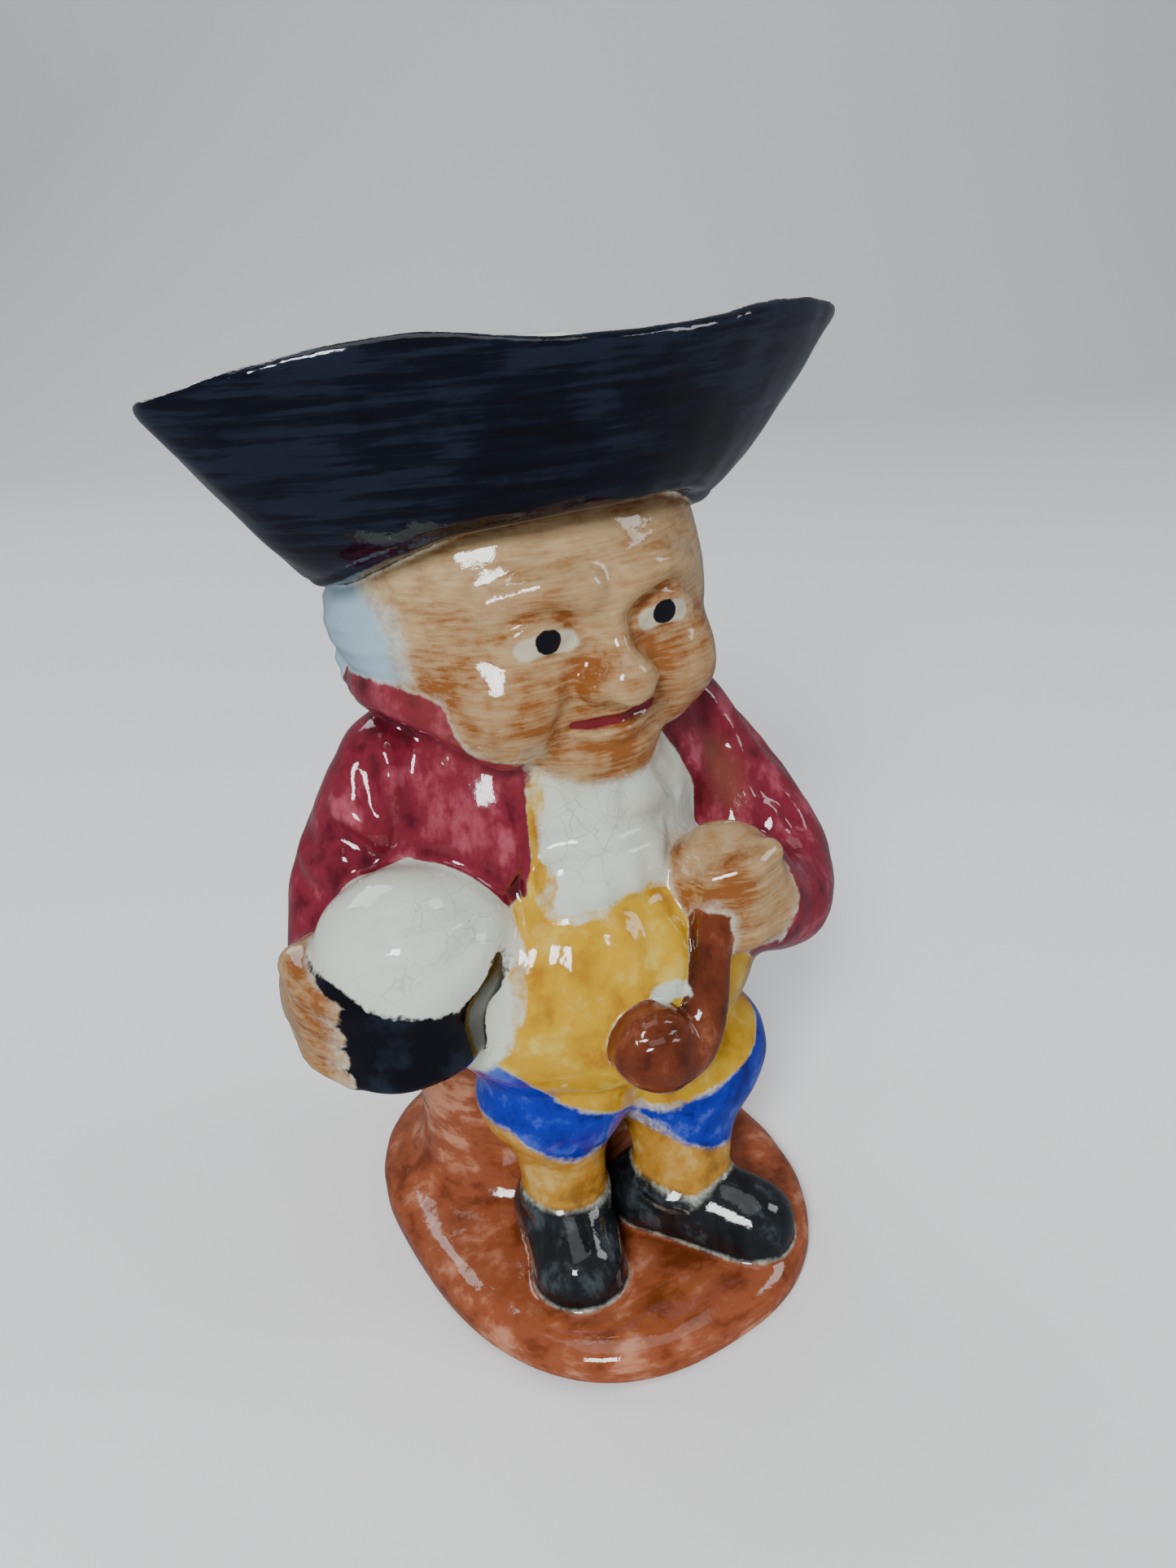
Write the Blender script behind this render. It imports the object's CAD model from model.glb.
import math

import bpy
import numpy as np
from mathutils import Matrix


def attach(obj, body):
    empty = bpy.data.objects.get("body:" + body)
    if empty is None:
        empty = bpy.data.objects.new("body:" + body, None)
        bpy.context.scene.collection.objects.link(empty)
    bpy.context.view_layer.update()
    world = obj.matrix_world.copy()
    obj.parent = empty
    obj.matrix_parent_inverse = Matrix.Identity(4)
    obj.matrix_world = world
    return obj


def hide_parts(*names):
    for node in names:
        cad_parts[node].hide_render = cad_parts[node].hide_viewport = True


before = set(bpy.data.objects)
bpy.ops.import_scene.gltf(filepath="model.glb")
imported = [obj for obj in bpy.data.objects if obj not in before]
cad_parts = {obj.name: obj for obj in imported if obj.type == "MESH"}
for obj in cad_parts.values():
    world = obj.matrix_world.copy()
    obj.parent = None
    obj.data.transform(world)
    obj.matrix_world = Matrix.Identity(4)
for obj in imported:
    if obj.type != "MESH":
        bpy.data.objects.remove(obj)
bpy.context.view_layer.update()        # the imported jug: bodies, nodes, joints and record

# --- Base and stump --------------------------------------------------------------------------
# A low oval plate with soft edges, and the tree stump behind the legs that carries the figure.
# Slip cast in earthenware with everything above it, and brushed with orange-brown under the
# glaze. Sizes here are millimetres, and the figure faces -y.

BASE = dict(rx=33.8, ry=42.6, y=-5.0, height=7.0, power=2.4)
STUMP = dict(rx=23.2, ry=18.0, y=9.0, flare=7.0)
FAR = 60.0
TINY = 1e-9


def joined(a, b, soft):
    """Union of two distance fields with a fillet, about soft wide, where they meet."""
    if soft <= 0:
        return np.minimum(a, b)
    reach = np.maximum(soft - np.abs(a - b), 0) / soft
    return np.minimum(a, b) - reach * reach * soft / 4


def shared(a, b, soft):
    """What two distance fields have in common, with an edge rounded by soft."""
    return -joined(-a, -b, soft)


class Form:
    """A solid as a signed distance in millimetres, with the box that holds it."""

    def __init__(self, distance, low, high):
        self.distance = distance
        self.low = np.array(low, float)
        self.high = np.array(high, float)


def flowing(points, steps=6):
    """Points of any dimension along a smooth curve through the given ones."""
    points = np.array(points, float)
    padded = np.vstack([2 * points[0] - points[1], points, 2 * points[-1] - points[-2]])
    rows = []
    for i in range(1, len(padded) - 2):
        before, start, end, after = padded[i - 1:i + 3]
        for t in np.linspace(0, 1, steps, endpoint=False):
            rows.append(0.5 * (2 * start + (end - before) * t
                               + (2 * before - 5 * start + 4 * end - after) * t ** 2
                               + (3 * start - before - 3 * end + after) * t ** 3))
    rows.append(points[-1])
    return np.array(rows)


def column(levels, power=2.0, edge=2.0, drop=None):
    """A stack of ovals. Each level is its height, y, half width and half depth.

    drop gives heights and slopes: how far the part behind the middle hangs down."""
    rings = flowing(levels)
    height, middle, wide, deep = rings.T

    def distance(x, y, z):
        if drop:
            z = z + np.interp(z, *drop) * np.maximum(y - np.interp(z, height, middle), 0)
        rx = np.interp(z, height, wide)
        ry = np.interp(z, height, deep)
        u = np.abs(x) / rx
        v = np.abs(y - np.interp(z, height, middle)) / ry
        out = (u ** power + v ** power + TINY) ** (1 / power)
        slope = np.hypot(u ** (power - 1) / rx, v ** (power - 1) / ry) * out ** (1 - power)
        side = np.maximum((out - 1) / np.maximum(slope, TINY), -np.minimum(rx, ry))
        ends = np.maximum(height[0] - z, z - height[-1])
        return shared(side, ends, edge)

    reach = deep.max() + np.abs(middle).max()
    sag = max(drop[1]) * 2 * deep.max() if drop else 0
    return Form(distance, (-wide.max(), -reach, height[0] - sag), (wide.max(), reach, height[-1]))


casting = []    # every step of the modelling: form, fillet, and whether it is cut away
painted = {}    # the forms under each colour


def model(form, soft, colour=None):
    """Add a form to the casting, blended over a fillet, under a colour."""
    casting.append((form, soft, False))
    if colour:
        painted.setdefault(colour, []).append(form)


def cut(form, soft):
    """Press a form into the casting."""
    casting.append((form, soft, True))


def base_plate():
    levels = []
    for share in np.linspace(0, 1, 9):
        z = BASE["height"] * share
        tuck = 1.3 * (1 - min(share / 0.25, 1)) ** 2 + 3.2 * max(0, (share - 0.45) / 0.55) ** 2.4
        levels.append((z, BASE["y"], BASE["rx"] - tuck, BASE["ry"] - tuck))
    return column(levels, power=BASE["power"], edge=1.6)


def stump():
    levels = []
    for z in (3, 6, 8, 10, 12.5, 16, 22, 40, 60):
        flare = STUMP["flare"] * math.exp(-max(z - 6, 0) / 3.2)
        levels.append((z, STUMP["y"], STUMP["rx"] + flare, STUMP["ry"] + flare))
    return column(levels)


model(base_plate(), 0, "brown")
model(stump(), 5, "brown")

# --- Legs ------------------------------------------------------------------------------------
# Two stout legs in full breeches, stockings and heavy shoes, the left foot turned outwards.
# Modelled against the stump in one mould, and painted blue, mustard and black.


def spun(lean, roll, turn):
    """Rotation about x, then y, then z, in degrees."""
    return np.array(Matrix.Rotation(math.radians(turn), 3, "Z")
                    @ Matrix.Rotation(math.radians(roll), 3, "Y")
                    @ Matrix.Rotation(math.radians(lean), 3, "X"))


def egg(at, radii, lean=0, roll=0, turn=0):
    """A ball stretched along three axes and tipped."""
    at = np.array(at, float)
    radii = np.array(radii, float)
    axes = spun(lean, roll, turn)
    reach = np.sqrt(axes ** 2 @ radii ** 2)

    def distance(x, y, z):
        x, y, z = x - at[0], y - at[1], z - at[2]
        size = 0
        slope = 0
        for axis, radius in zip(axes.T, radii):
            along = (axis[0] * x + axis[1] * y + axis[2] * z) / radius
            size = size + along ** 2
            slope = slope + (along / radius) ** 2
        size = np.sqrt(size + TINY)
        return size * (size - 1) / np.sqrt(slope + TINY)

    return Form(distance, at - reach, at + reach)


def limb(points, radii, soft=0.0, wide=1.0):
    """Round tapered lengths from point to point. wide stretches the section along x."""
    points = np.array(points, float)
    radii = np.broadcast_to(np.array(radii, float), (len(points),))
    stretch = np.array([wide, 1, 1])
    spots = points / stretch

    def distance(x, y, z):
        x = x / wide
        result = None
        for start, end, first, last in zip(spots, spots[1:], radii, radii[1:]):
            line = end - start
            along = (x - start[0]) * line[0] + (y - start[1]) * line[1] + (z - start[2]) * line[2]
            share = np.clip(along / (line @ line), 0, 1)
            away = np.sqrt((x - start[0] - share * line[0]) ** 2
                           + (y - start[1] - share * line[1]) ** 2
                           + (z - start[2] - share * line[2]) ** 2)
            length = away - (first + share * (last - first))
            result = length if result is None else joined(result, length, soft)
        return result

    margin = radii[:, None] * stretch
    return Form(distance, (points - margin).min(0), (points + margin).max(0))


def right_leg():
    model(limb([(-10.4, -16, 30), (-10.9, -17.4, 16)], [7.6, 6.9]), 2.5, "mustard")
    model(egg((-9.5, -15, 37), (13.2, 12.7, 11)), 5.0, "blue")
    shoe = [(-11.2, -15, 12.2), (-12.6, -21, 11), (-14.4, -26.6, 8.4)]
    model(limb(flowing(shoe, 3), np.linspace(7.8, 7.5, 7)), 1.6, "black")
    model(egg((-11.4, -18.4, 17.6), (7.6, 7.4, 2.4), lean=14), 1.4, "black")


def left_leg():
    model(limb([(10.6, -20.5, 28), (8.2, -24.3, 15)], [9.2, 8.0]), 2.5, "mustard")
    model(egg((14, -17.5, 34.4), (14.6, 13.6, 12.6)), 5.0, "blue")
    shoe = [(3.6, -20.6, 11.6), (8.6, -27.6, 11), (13.8, -35, 8.4)]
    model(limb(flowing(shoe, 3), np.linspace(7.2, 7.6, 7)), 1.6, "black")
    model(egg((7.4, -24.6, 15.8), (8.6, 7.6, 2.6), lean=12, turn=35), 1.4, "black")


right_leg()
left_leg()

# --- Coat, waistcoat and neckcloth -----------------------------------------------------------
# A full-skirted coat hanging open over a round belly, with a soft turned collar, and a
# neckcloth tied below the chin. The cloth is modelled in the clay as low folds and creases.
# The coat is raspberry red and the waistcoat yellow; the neckcloth keeps the cream body.

COAT = [
    (51.5, 7.5, 26.6, 22.6), (62, 6, 26.2, 21.8), (73, 3.4, 26.4, 21.2), (83, 1, 26.2, 20),
    (92, 0.3, 25, 18.6), (99, 1, 22.6, 17.2), (107, 1, 22, 17.4),
]
HEM_DROP = ((52, 62, 73), (0.7, 0.35, 0))
BELLY = dict(at=(0.5, -13, 57), radii=(28.4, 22.5, 22))
CHEST = dict(at=(0, -3, 81), radii=(25.5, 18.6, 21))
COAT_OPENING = [
    (-13.6, 108), (-13.6, 80), (-15, 77), (-18, 75.6), (-26, 77.5), (-48, 77.5), (-48, 40), (48, 40),
    (48, 66), (24, 74), (21, 82), (16.5, 91), (12.5, 98), (12, 108),
]


class Spots:
    """Single points, as a place where the casting is measured."""

    def __init__(self, points):
        self.points = np.asarray(points, np.float32)
        self.shape = len(self.points)
        self.low, self.high = self.points.min(0), self.points.max(0)

    def near(self, form, margin):
        if (self.low > form.high + margin).any() or (self.high < form.low - margin).any():
            return [], self.points[:0].T
        inside = (self.points > form.low - margin) & (self.points < form.high + margin)
        key = np.flatnonzero(inside.all(1))
        return key, self.points[key].T


def measured(place, steps, margin=4.0):
    """The distance field of the steps at a place."""
    field = np.full(place.shape, FAR, np.float32)
    for form, soft, away in steps:
        key, (x, y, z) = place.near(form, soft + margin)
        if not x.size:
            continue
        depth = form.distance(x, y, z)
        if away:
            field[key] = -joined(-field[key], depth, soft)
        else:
            field[key] = joined(field[key], depth, soft)
    return field


def outward(points, probe, reach=0.25):
    """The field that probe measures at points, and the way in which it grows fastest."""
    here = probe(points)
    slope = np.empty(points.shape)
    for axis in range(3):
        step = np.zeros(3)
        step[axis] = reach
        slope[:, axis] = probe(points + step) - here
    return here, slope / np.maximum(np.linalg.norm(slope, axis=1), TINY)[:, None]


def modelled(points):
    """The distance field of what is modelled so far."""
    return measured(Spots(points), casting, 9.0)


def seated(points, sunk):
    """A smooth curve laid on the skin of what is modelled so far, and sunk into it."""
    points = flowing(points, 4)
    for _ in range(3):
        depth, way = outward(points, modelled)
        points = points - way * (depth + sunk)[:, None]
    return points


def fold(points, radius, stand, soft=1.5):
    """A raised fold of cloth, which stands out of the skin by stand. It tapers at both ends."""
    path = seated(points, radius - stand)
    taper = 0.45 + 0.55 * np.sin(np.linspace(0.15, 0.85, len(path)) * math.pi)
    model(limb(path, radius * taper), soft)


def crease(points, radius, depth, soft=1.5):
    """A crease pressed into the skin to a depth. It runs out at both ends."""
    path = seated(points, depth - radius)
    taper = 0.5 + 0.5 * np.sin(np.linspace(0.1, 0.9, len(path)) * math.pi)
    cut(limb(path, radius * taper), soft)


def pillar(outline, y_low, y_high, edge):
    """An outline in x and z, run along y."""
    outline = np.array(outline, float)

    def distance(x, y, z):
        nearest = None
        inside = None
        for start, end in zip(outline, np.roll(outline, -1, axis=0)):
            line = end - start
            share = np.clip(((x - start[0]) * line[0] + (z - start[1]) * line[1]) / (line @ line), 0, 1)
            away = (x - start[0] - share * line[0]) ** 2 + (z - start[1] - share * line[1]) ** 2
            nearest = away if nearest is None else np.minimum(nearest, away)
            lift = line[1] if abs(line[1]) > TINY else TINY
            crossed = ((z < start[1]) != (z < end[1]))
            crossed = crossed & (x < start[0] + (z - start[1]) / lift * line[0])
            inside = crossed if inside is None else inside ^ crossed
        flat = np.sqrt(nearest) * np.where(inside, -1, 1) + 0 * y
        return shared(flat, np.maximum(y_low - y, y - y_high), edge)

    low = (outline[:, 0].min(), y_low, outline[:, 1].min())
    high = (outline[:, 0].max(), y_high, outline[:, 1].max())
    return Form(distance, low, high)


def coat():
    model(column(COAT, edge=3, drop=HEM_DROP), 2.0, "red")


def waistcoat():
    model(egg(BELLY["at"], BELLY["radii"]), 3.0, "yellow")
    model(egg(CHEST["at"], CHEST["radii"]), 6.0, "yellow")


def coat_fronts():
    """The two fronts of the coat: a shell over the chest with its opening cut away."""
    shell = egg(CHEST["at"], np.array(CHEST["radii"]) + 2.0)
    opening = pillar(COAT_OPENING, -45, 2, 1.5)

    def distance(x, y, z):
        return shared(shell.distance(x, y, z), -opening.distance(x, y, z), 1.6)

    model(Form(distance, shell.low, shell.high), 0.6, "red")


def neckcloth():
    bib = egg((1.6, -14.2, 87), (12.8, 9.8, 13.5), lean=-8)
    model(bib, 1.6, "cloth")
    flap = egg((-1.2, -20.2, 78), (11.6, 7.2, 6.4), lean=-14, roll=-3)
    model(flap, 1.2, "cloth")
    for i in range(4):
        x = -9.4 + 4.6 * i
        bottom = -26.2 + 0.04 * (x + 2) ** 2
        model(limb([(x * 0.9, bottom + 2.6, 80.4), (x, bottom, 75.6 + 0.3 * (i % 2))], [1.6, 2.5]), 2.4, "cloth")
    crease([(-11, -21, 81.6), (-5, -24, 82.2), (1, -25.3, 82.8), (9, -23, 81.2)], 1.3, 0.9, 2.2)
    crease([(8.3, -21.9, 90.9), (11.6, -19.8, 86.4), (14.4, -18, 82.8)], 1.0, 0.7, 1.6)
    crease([(-6.4, -21.6, 93), (-5.6, -23, 88), (-4.6, -23.8, 84.4)], 0.8, 0.35, 1.6)
    crease([(1.6, -22.4, 93.6), (1.8, -23.8, 88), (2.2, -24.8, 85)], 0.8, 0.3, 1.6)


def belly_folds():
    fold([(-10.9, -17.5, 94), (-12.4, -19, 85), (-12.9, -20, 75.8)], 1.1, 0.8, 0.8)
    fold([(-13.1, -23.7, 73), (-15.4, -24.9, 70.4), (-17.6, -26.2, 67), (-19, -27, 62)], 2.4, 0.6, 3.0)
    fold([(-9.4, -25.7, 73), (-11, -28.3, 69), (-12.4, -29.8, 64.5)], 2.2, 0.5, 3.0)
    fold([(-4.4, -29.4, 70.9), (-4.2, -31.2, 68.7), (-3.6, -34, 63.5)], 2.2, 0.5, 3.0)
    fold([(3.4, -31.6, 70), (3, -32.6, 67.6), (1.9, -33.9, 63.5)], 2.0, 0.4, 3.0)
    crease([(-15, -29, 42.6), (-6, -31.5, 40.4), (4, -32, 40.2), (14, -29.5, 42)], 1.2, 0.35, 2.4)


def collar():
    half = [(13.6, -18.8, 97.4), (20.2, -13.6, 103.2), (23.6, -5, 105), (22, 7, 104), (13, 17, 102.6)]
    left = [(-x, y, z) for x, y, z in half]
    ring = np.column_stack([left + [(0, 20.5, 102)] + half[::-1],
                            [1.5, 2.6, 3.1, 3.1, 3, 3, 3, 3.1, 3.1, 2.6, 1.5]])
    ring = flowing(ring, 4)
    model(limb(ring[:, :3], ring[:, 3], 0.4), 1.3, "red")


def coat_back():
    crease([(0, 24, 84), (0, 26, 70), (0, 28, 56), (0, 29, 44)], 1.0, 0.8, 1.2)
    for side in (-1, 1):
        crease([(8 * side, 20, 76), (10 * side, 24, 62), (12 * side, 26, 46)], 1.2, 0.7, 1.8)
        fold([(14 * side, 20, 78), (17 * side, 22, 64), (19 * side, 22, 48)], 2.0, 0.7, 2.5)
        crease([(13 * side, 17, 100), (17 * side, 14, 88), (16 * side, 17, 76)], 0.9, 0.4, 1.4)
        button = seated([(7.5 * side, 24, 77), (7.6 * side, 24, 77)], 0.2)[0]
        model(egg(button, (2, 1.4, 2)), 0.5, "red")


coat()
waistcoat()
coat_fronts()
neckcloth()
belly_folds()
coat_back()

# --- Arms and hands --------------------------------------------------------------------------
# Heavy sleeves bent at the elbow, with puckers at the armpits. The right hand holds the mug
# against the hip, and the left fist holds the pipe to the chest. The hands are brushed with
# brown over the cream body, and the cuffs are left cream.

PUCKERS = dict(radius=1.2, soft=1.6)


def right_arm():
    sleeve = flowing([(-21.5, 0, 90.5, 10.4), (-29.5, 2, 77, 10), (-33, 1.5, 67, 9.8), (-38.5, -6.5, 62, 8)], 4)
    model(limb(sleeve[:, :3], sleeve[:, 3], 0.5), 3.2, "red")
    crease([(-24.3, -11.6, 103.5), (-24.8, -11, 97), (-25.6, -10, 91), (-28, -8.8, 85.4), (-31, -7.8, 81.6)], 1.8, 1.5, 3.0)
    crease([(-29.4, -5.6, 94.4), (-29.2, -6.6, 91.4), (-28.9, -7.6, 89)], 2.0, 1.5, 2.4)
    crease([(-34.6, -4, 86.6), (-32.8, -6, 85.2), (-31.2, -7.4, 84.2)], 1.8, 1.3, 2.2)
    crease([(-31.6, -4.4, 99), (-30.6, -6, 96.4), (-29.6, -7, 95)], 1.6, 0.7, 2.4)
    fold([(-34.4, -2.4, 91), (-32, -6, 87.4), (-29.6, -8, 84.2)], 1.4, 0.8, 1.6)
    fold([(-27.2, -8.8, 94.6), (-27, -9.4, 89.4), (-28.8, -8.8, 84.8)], 1.4, 0.8, 1.8)
    crease([(-38.6, 3, 79), (-39.6, -2, 77), (-37.6, -6.4, 77.6)], 1.6, 0.8, 2.4)
    crease([(-37, 6, 86), (-38.6, 1, 84.6), (-37.6, -3, 85)], 1.6, 0.5, 2.6)
    model(egg((-41.2, -9.5, 65), (6.8, 8.6, 8.8), roll=-8), 2.5, "hands")
    for i in range(4):
        z = 70.6 - 3.7 * i
        finger = [(-44.6, -8.5, z + 0.4), (-45.2, -14.6, z - 0.6), (-42.8, -19.6, z - 1.6)]
        model(limb(flowing(finger, 3), np.linspace(2.7, 2.3, 7)), 1.1, "hands")


def left_arm():
    sleeve = flowing([(21.5, -3, 90.5, 10.4), (29.8, -9, 77, 10), (34, -16.5, 65, 9.8), (30, -24, 62, 8.8),
                      (23.5, -27.6, 64.4, 8)], 4)
    model(limb(sleeve[:, :3], sleeve[:, 3], 0.5), 3.0, "red")
    model(egg((16, -28.4, 71), (9.8, 8.2, 9.4), roll=20), 2.0, "hands")
    model(egg((20.8, -27.6, 67), (7.6, 8.8, 8.6)), 2.6, "hands")
    crease([(23.6, -12.6, 96), (25.4, -15, 88), (26.4, -17.4, 81), (24.6, -19, 76.6)], 1.8, 1.3, 2.8)
    crease([(29.4, -18, 80), (30.8, -19.6, 76.6), (30, -21.2, 74)], 1.9, 1.3, 2.2)
    crease([(33.6, -20.4, 75), (33.2, -22.6, 71.6), (31.6, -25, 69)], 1.7, 1.2, 2.0)
    fold([(27.2, -16.4, 85), (28.6, -18.6, 79), (32, -22, 73.6), (33, -24, 70)], 1.4, 0.8, 1.8)
    crease([(33, -8, 90), (34.6, -12, 84), (36, -14, 78)], 1.8, 0.5, 2.8)
    for i in range(4):
        z = 76.8 - 3.7 * i
        finger = [(19.5, -34.4, z + 0.2), (14.6, -35.6, z - 0.4), (10, -33.4, z - 1.4)]
        model(limb(flowing(finger, 3), 2.2), 1.8, "hands")


right_arm()
left_arm()

# --- Mug and pipe ----------------------------------------------------------------------------
# A black mug with froth standing over its brim, and a clay pipe with a round bowl. Both are
# modelled solid with the figure. The froth runs softly into the coat and stays cream.

MUG = dict(x=-33.0, y=-15.5, z=55.5, radius=12.2, top=70.5)


def can(x, y, low, high, radius, edge):
    """An upright round can with soft edges."""
    def distance(px, py, pz):
        side = np.hypot(px - x, py - y) - radius
        return shared(side + 0 * pz, np.maximum(low - pz, pz - high), edge)

    return Form(distance, (x - radius, y - radius, low), (x + radius, y + radius, high))


def mug():
    x, y = MUG["x"], MUG["y"]
    model(can(x, y, MUG["z"], MUG["top"], MUG["radius"], 2.4), 0.8, "mug")
    model(egg((x + 2.4, y - 0.4, 71.6), (13.8, 12.8, 11.6)), 2.4, "froth")
    model(egg((-23.5, -16.5, 70), (7.5, 8, 9)), 4.0, "froth")
    crease([(-38, -25, 74.6), (-30, -28, 74.2), (-24, -26.4, 77)], 1.3, 0.3, 2.4)
    crease([(-37, -22, 79), (-30, -23.6, 80), (-24, -22.6, 80.4)], 1.4, 0.3, 2.4)


def pipe():
    stem = flowing([(9.6, -33.4, 69, 3.0), (7.2, -35.4, 61.5, 3.2), (4.6, -36.4, 55.5, 3.9),
                    (1.4, -37, 52.6, 4.6), (-2.6, -37, 52.6, 5.4)], 4)
    model(limb(stem[:, :3], stem[:, 3]), 0.8, "rust")
    model(egg((-4.4, -36.6, 54.8), (6.2, 6.4, 6.6)), 1.0, "rust")
    crease([(-8.4, -39.6, 58.8), (-4.6, -41.4, 60), (-0.8, -40.6, 58.6)], 0.9, 0.4, 0.9)
    painted["froth"].append(egg((0.4, -35.2, 61.2), (3.0, 4, 1.3), roll=12))


mug()
pipe()

# --- Head and hair ---------------------------------------------------------------------------
# A broad plain head with full cheeks under the hat, and hair brushed back over the ears to a
# row of curls at the nape. The features are modelled by thumb, and the flesh is a thin brown
# brushed over the cream, with black eyes and a red mouth put in with the tip of the brush.

HEAD = dict(at=(1.0, -2.5, 110.5), rx=27.2, ry=22.6, chin=19.0, crown=24.0, fullness=3.2)
EYE = dict(x=9.3, z=113.4)
NOSE = dict(tip=106.8, bridge=118.0)
MOUTH = 100.7


def skull():
    cx, cy, cz = HEAD["at"]
    rx, ry = HEAD["rx"], HEAD["ry"]

    def distance(x, y, z):
        x, y, z = x - cx, y - cy, z - cz
        around = np.hypot(x / rx, y / ry)
        over = np.abs(z) / np.where(z > 0, HEAD["crown"], HEAD["chin"])
        power = np.where(z > 0, HEAD["fullness"], 2.0)
        size = (around ** power + over ** power + TINY) ** (1 / power)
        return (size - 1) * 0.8 * ry * np.minimum(size, 1.2)

    low = (cx - rx, cy - ry, cz - HEAD["chin"])
    return Form(distance, low, (cx + rx, cy + ry, cz + HEAD["crown"]))


def face():
    model(egg((1, -19.6, 96.6), (9, 6.6, 5.8)), 5.0, "face")
    crease([(-5.5, -22.6, 98.2), (1, -25.4, 97.8), (7.5, -22.6, 98.2)], 1.4, 0.8, 2.2)
    nose = [(1, -22.6, NOSE["bridge"]), (1, -24.6, 113), (1, -27.4, 107.8)]
    model(limb(nose, [2.4, 2.7, 3.4], 1), 3.2, "face")
    model(egg((1, -28, NOSE["tip"]), (3.9, 3.7, 3.2)), 1.8, "face")
    for side in (-1, 1):
        half_face(side)
    slit = [(-5.4, -23.6, 100.9), (-2, -25.8, 100.8), (4, -25.8, 100.8), (7.4, -23.6, 100.9)]
    crease(slit, 0.8, 0.9, 0.8)


def half_face(side):
    """The side of the face that lies on +x for 1 and on -x for -1."""
    def at(x, y, z):
        return 1 + side * x, y, z

    model(egg(at(12, -17.6, 104.2), (9, 8, 7.6)), 4.5, "face")
    cut(egg(at(EYE["x"], -28.6, EYE["z"] + 0.6), (7.2, 5.6, 4.6)), 3.0)
    model(egg(at(EYE["x"], -20.2, EYE["z"]), (5.6, 4.2, 4.0)), 0.8, "face")
    brow = [at(3.4, -24.6, 119.2), at(9, -24, 120.4), at(15, -20.4, 118.6)]
    model(limb(flowing(brow, 3), np.linspace(2.3, 1.7, 7)), 2.6, "face")
    upper = [at(EYE["x"] - 4.8, -23.6, 112.8), at(EYE["x"] - 1.6, -24.6, 115.6),
             at(EYE["x"] + 2.2, -23.6, 115.6), at(EYE["x"] + 5.2, -20.6, 112.8)]
    model(limb(flowing(seated(upper, 0.2), 2), 0.9), 0.9, "face")
    lower = [at(EYE["x"] - 4.4, -23.8, 112), at(EYE["x"], -24.4, 110.4), at(EYE["x"] + 4.6, -21.4, 112)]
    model(limb(flowing(seated(lower, 0.3), 2), 0.8), 1.0, "face")
    model(egg(at(3.9, -25.4, 106.2), (2.6, 2.9, 2.4)), 1.2, "face")
    cut(egg(at(2.3, -28.4, 103.9), (1.3, 1.5, 0.9)), 0.7)
    lip = [at(-0.2, -24.6, 101.9), at(2, -24.6, 102.6), at(7, -22.8, 101.2)]
    model(limb(flowing(lip, 3), np.linspace(1.5, 0.8, 7)), 1.4, "face")
    lip = [at(-0.2, -24.6, 99.2), at(3, -24.4, 99.4), at(6.2, -22.8, 100.4)]
    model(limb(flowing(lip, 3), np.linspace(1.8, 0.8, 7)), 1.4, "face")
    crease([at(5.4, -25.4, 106.4), at(8, -24.6, 103), at(9.2, -22.6, 99.8)], 1.3, 0.8, 2.0)


def hair():
    model(egg((0.9, 1.5, 114), (29.6, 24.4, 17)), 1.8, "hair")
    for i in range(9):
        angle = math.radians(-64 + 16 * i)
        x, y = 23.5 * math.sin(angle), 20.6 * math.cos(angle)
        curl = [(x * 0.96, y * 0.96 - 0.5, 109.5), (x * 1.06, y * 1.08, 106.6), (x * 1.0, y * 1.02, 103.6)]
        model(limb(flowing(curl, 3), [2.6, 3.1, 3.5, 3.6, 3.4, 3.0, 2.4], 0.4), 1.4, "hair")
    for side in (-1, 1):
        for i in range(5):
            lift = 3.1 * i
            crease([(side * 25.2 + 0.9, -10.5, 120.6 - lift), (side * 29.3 + 0.9, -2, 120.4 - lift - 0.4 * i),
                    (side * 29.5 + 0.9, 6, 118.6 - lift), (side * 25 + 0.9, 15, 118.6 - lift - 0.5 * i),
                    (side * 15 + 0.9, 23, 117.4 - lift)], 1.1, 0.42, 1.8)


model(skull(), 1.8, "face")
hair()
collar()
face()

# --- Cocked hat ------------------------------------------------------------------------------
# A wide black hat with its brim turned up on three sides into two pouring corners and a low
# back corner over the handle. It is the mouth of the jug, thrown thin with a soft rolled rim,
# and brushed all round with blue-black.

WALL = 4.0
HAT = dict(y=-2.0, foot=121.5, brow=131.0, band_x=30.4, band_y=25.6)
BRIM = dict(height=146.6, reach=33.2, side=18.8, back=9.5, corner=78, curve=0.8)


def bump(angle, centre, width, power=2.0):
    away = np.abs((angle - centre + 180) % 360 - 180)
    return np.exp(-(away / width) ** power)


def smooth(value, low, high):
    share = np.clip((value - low) / (high - low), 0, 1)
    return share * share * (3 - 2 * share)


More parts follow.
